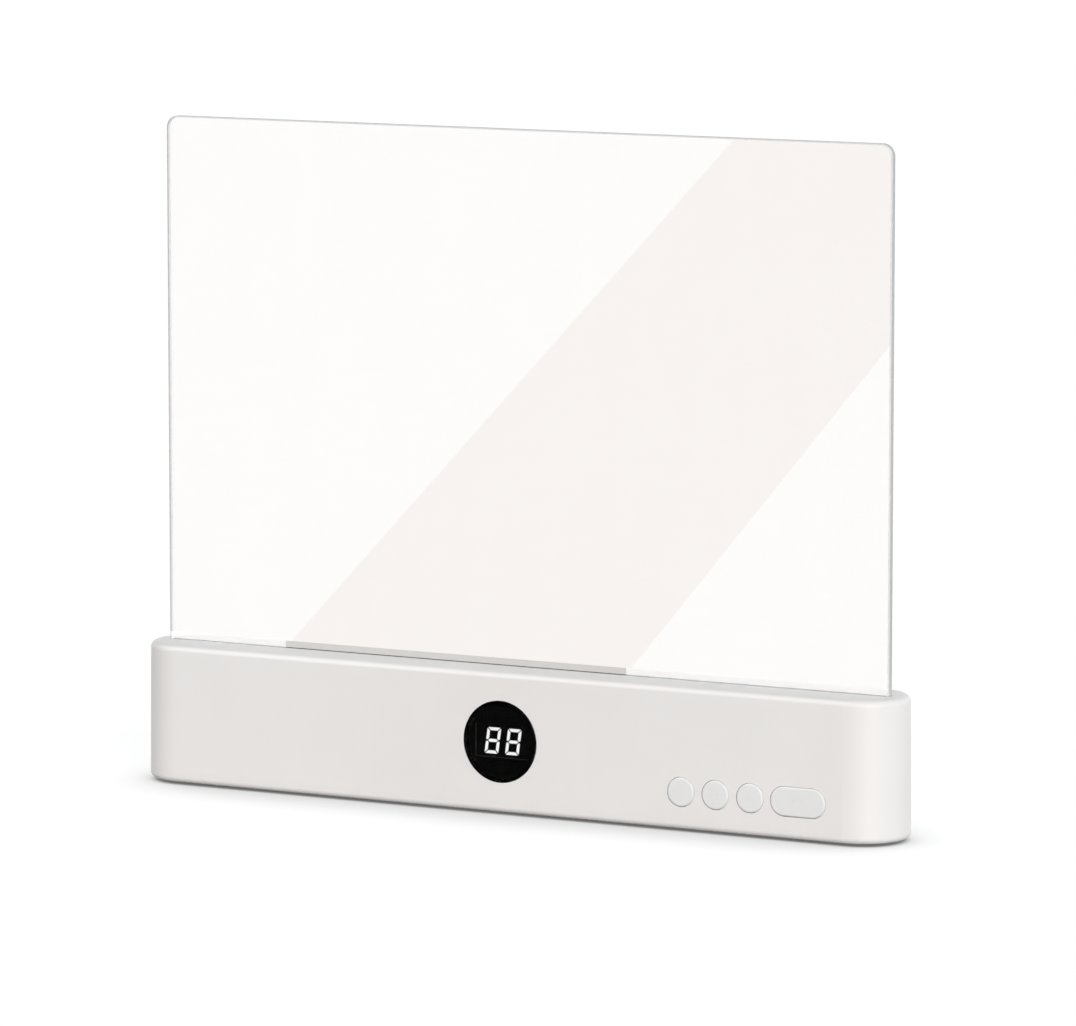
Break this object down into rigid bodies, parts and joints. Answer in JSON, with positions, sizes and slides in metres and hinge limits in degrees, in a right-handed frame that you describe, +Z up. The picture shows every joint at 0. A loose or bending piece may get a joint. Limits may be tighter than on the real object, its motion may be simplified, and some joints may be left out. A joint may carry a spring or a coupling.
{
  "type": "edge-lit note board",
  "caption": "Free-standing clear acrylic note board in a slim white base with a round numeric display, round push buttons and a pill-shaped power button.",
  "frame": {"origin": "on the table under the middle of the base, level with the undersides of the feet", "axes": "+X to the right along the base, the front with display and buttons faces -Y, +Z up"},
  "size_m": [0.25, 0.0283, 0.1998],
  "materials": {
    "housing": "fine satin moulded ABS",
    "bottom_cover": "satin moulded ABS",
    "foot_front_left": "silicone rubber",
    "foot_front_right": "silicone rubber",
    "foot_rear_left": "silicone rubber",
    "foot_rear_right": "silicone rubber",
    "cover_screws": "zinc plated",
    "holder_screws": "zinc plated",
    "control_board_screws": "zinc plated",
    "power_board_screws": "zinc plated",
    "acrylic_panel": "polished clear acrylic",
    "slot_liner": "flocked felt strip",
    "panel_holder": "moulded ABS",
    "led_board": "white solder mask",
    "led_chips": "phosphor resin",
    "display_window": "smoked acrylic, polished",
    "display_mask": "black foam mask",
    "left_digit_segments": "diffusing resin, lit",
    "right_digit_segments": "diffusing resin, lit",
    "display_module": "black moulding",
    "display_pins": "tinned",
    "left_button": "satin ABS",
    "middle_button": "satin ABS",
    "right_button": "satin ABS",
    "power_button": "satin ABS",
    "control_board": "green solder mask",
    "microcontroller": "moulded epoxy",
    "control_board_chip_parts": "ceramic chips",
    "led_lead_connector": "nylon",
    "control_link_connector": "nylon",
    "power_board": "green solder mask",
    "charge_chip": "moulded epoxy",
    "boost_inductor": "ferrite",
    "power_board_capacitors": "ceramic chips",
    "battery_connector": "nylon",
    "power_link_connector": "nylon",
    "usb_shell": "drawn stainless shell",
    "usb_tongue": "moulded LCP",
    "battery_cell": "aluminium laminate pouch",
    "battery_pad": "foam tape",
    "battery_protection_board": "blue solder mask",
    "battery_lead_red": "PVC insulation",
    "battery_lead_black": "PVC insulation",
    "led_lead_red": "PVC insulation",
    "led_lead_black": "PVC insulation",
    "link_lead_red": "PVC insulation",
    "link_lead_black": "PVC insulation",
    "link_lead_blue": "PVC insulation",
    "left_switch": "moulded nylon",
    "left_switch_plunger": "moulded nylon",
    "middle_switch": "moulded nylon",
    "middle_switch_plunger": "moulded nylon",
    "right_switch": "moulded nylon",
    "right_switch_plunger": "moulded nylon",
    "power_switch": "moulded nylon",
    "power_switch_plunger": "moulded nylon"
  },
  "bodies": {
    "base": {"housing": "housing", "bottom_cover": "bottom_cover", "foot_front_left": "foot_front_left", "foot_front_right": "foot_front_right", "foot_rear_left": "foot_rear_left", "foot_rear_right": "foot_rear_right", "cover_screws": "cover_screws", "holder_screws": "holder_screws", "control_board_screws": "control_board_screws", "power_board_screws": "power_board_screws", "slot_liner": "slot_liner", "panel_holder": "panel_holder", "led_board": "led_board", "led_chips": "led_chips", "display_window": "display_window", "display_mask": "display_mask", "left_digit_segments": "left_digit_segments", "right_digit_segments": "right_digit_segments", "display_module": "display_module", "display_pins": "display_pins", "control_board": "control_board", "microcontroller": "microcontroller", "control_board_chip_parts": "control_board_chip_parts", "led_lead_connector": "led_lead_connector", "control_link_connector": "control_link_connector", "power_board": "power_board", "charge_chip": "charge_chip", "boost_inductor": "boost_inductor", "power_board_capacitors": "power_board_capacitors", "battery_connector": "battery_connector", "power_link_connector": "power_link_connector", "usb_shell": "usb_shell", "usb_tongue": "usb_tongue", "battery_cell": "battery_cell", "battery_pad": "battery_pad", "battery_protection_board": "battery_protection_board", "battery_lead_red": "battery_lead_red", "battery_lead_black": "battery_lead_black", "led_lead_red": "led_lead_red", "led_lead_black": "led_lead_black", "link_lead_red": "link_lead_red", "link_lead_black": "link_lead_black", "link_lead_blue": "link_lead_blue", "left_switch": "left_switch", "middle_switch": "middle_switch", "right_switch": "right_switch", "power_switch": "power_switch"},
    "panel": {"acrylic_panel": "acrylic_panel"},
    "left_button": {"left_button": "left_button", "left_switch_plunger": "left_switch_plunger"},
    "middle_button": {"middle_button": "middle_button", "middle_switch_plunger": "middle_switch_plunger"},
    "right_button": {"right_button": "right_button", "right_switch_plunger": "right_switch_plunger"},
    "power_button": {"power_button": "power_button", "power_switch_plunger": "power_switch_plunger"}
  },
  "joints": [
    {"name": "panel_lift", "type": "slide", "parent": "base", "child": "panel", "axis": [0, 0, 1], "range_m": [0, 0.02]},
    {"name": "left_button_press", "type": "slide", "parent": "base", "child": "left_button", "axis": [0, 1, 0], "range_m": [0, 0.0004], "stiffness_N_per_m": 1500},
    {"name": "middle_button_press", "type": "slide", "parent": "base", "child": "middle_button", "axis": [0, 1, 0], "range_m": [0, 0.0004], "stiffness_N_per_m": 1500},
    {"name": "right_button_press", "type": "slide", "parent": "base", "child": "right_button", "axis": [0, 1, 0], "range_m": [0, 0.0004], "stiffness_N_per_m": 1500},
    {"name": "power_button_press", "type": "slide", "parent": "base", "child": "power_button", "axis": [0, 1, 0], "range_m": [0, 0.0004], "stiffness_N_per_m": 1500}
  ]
}
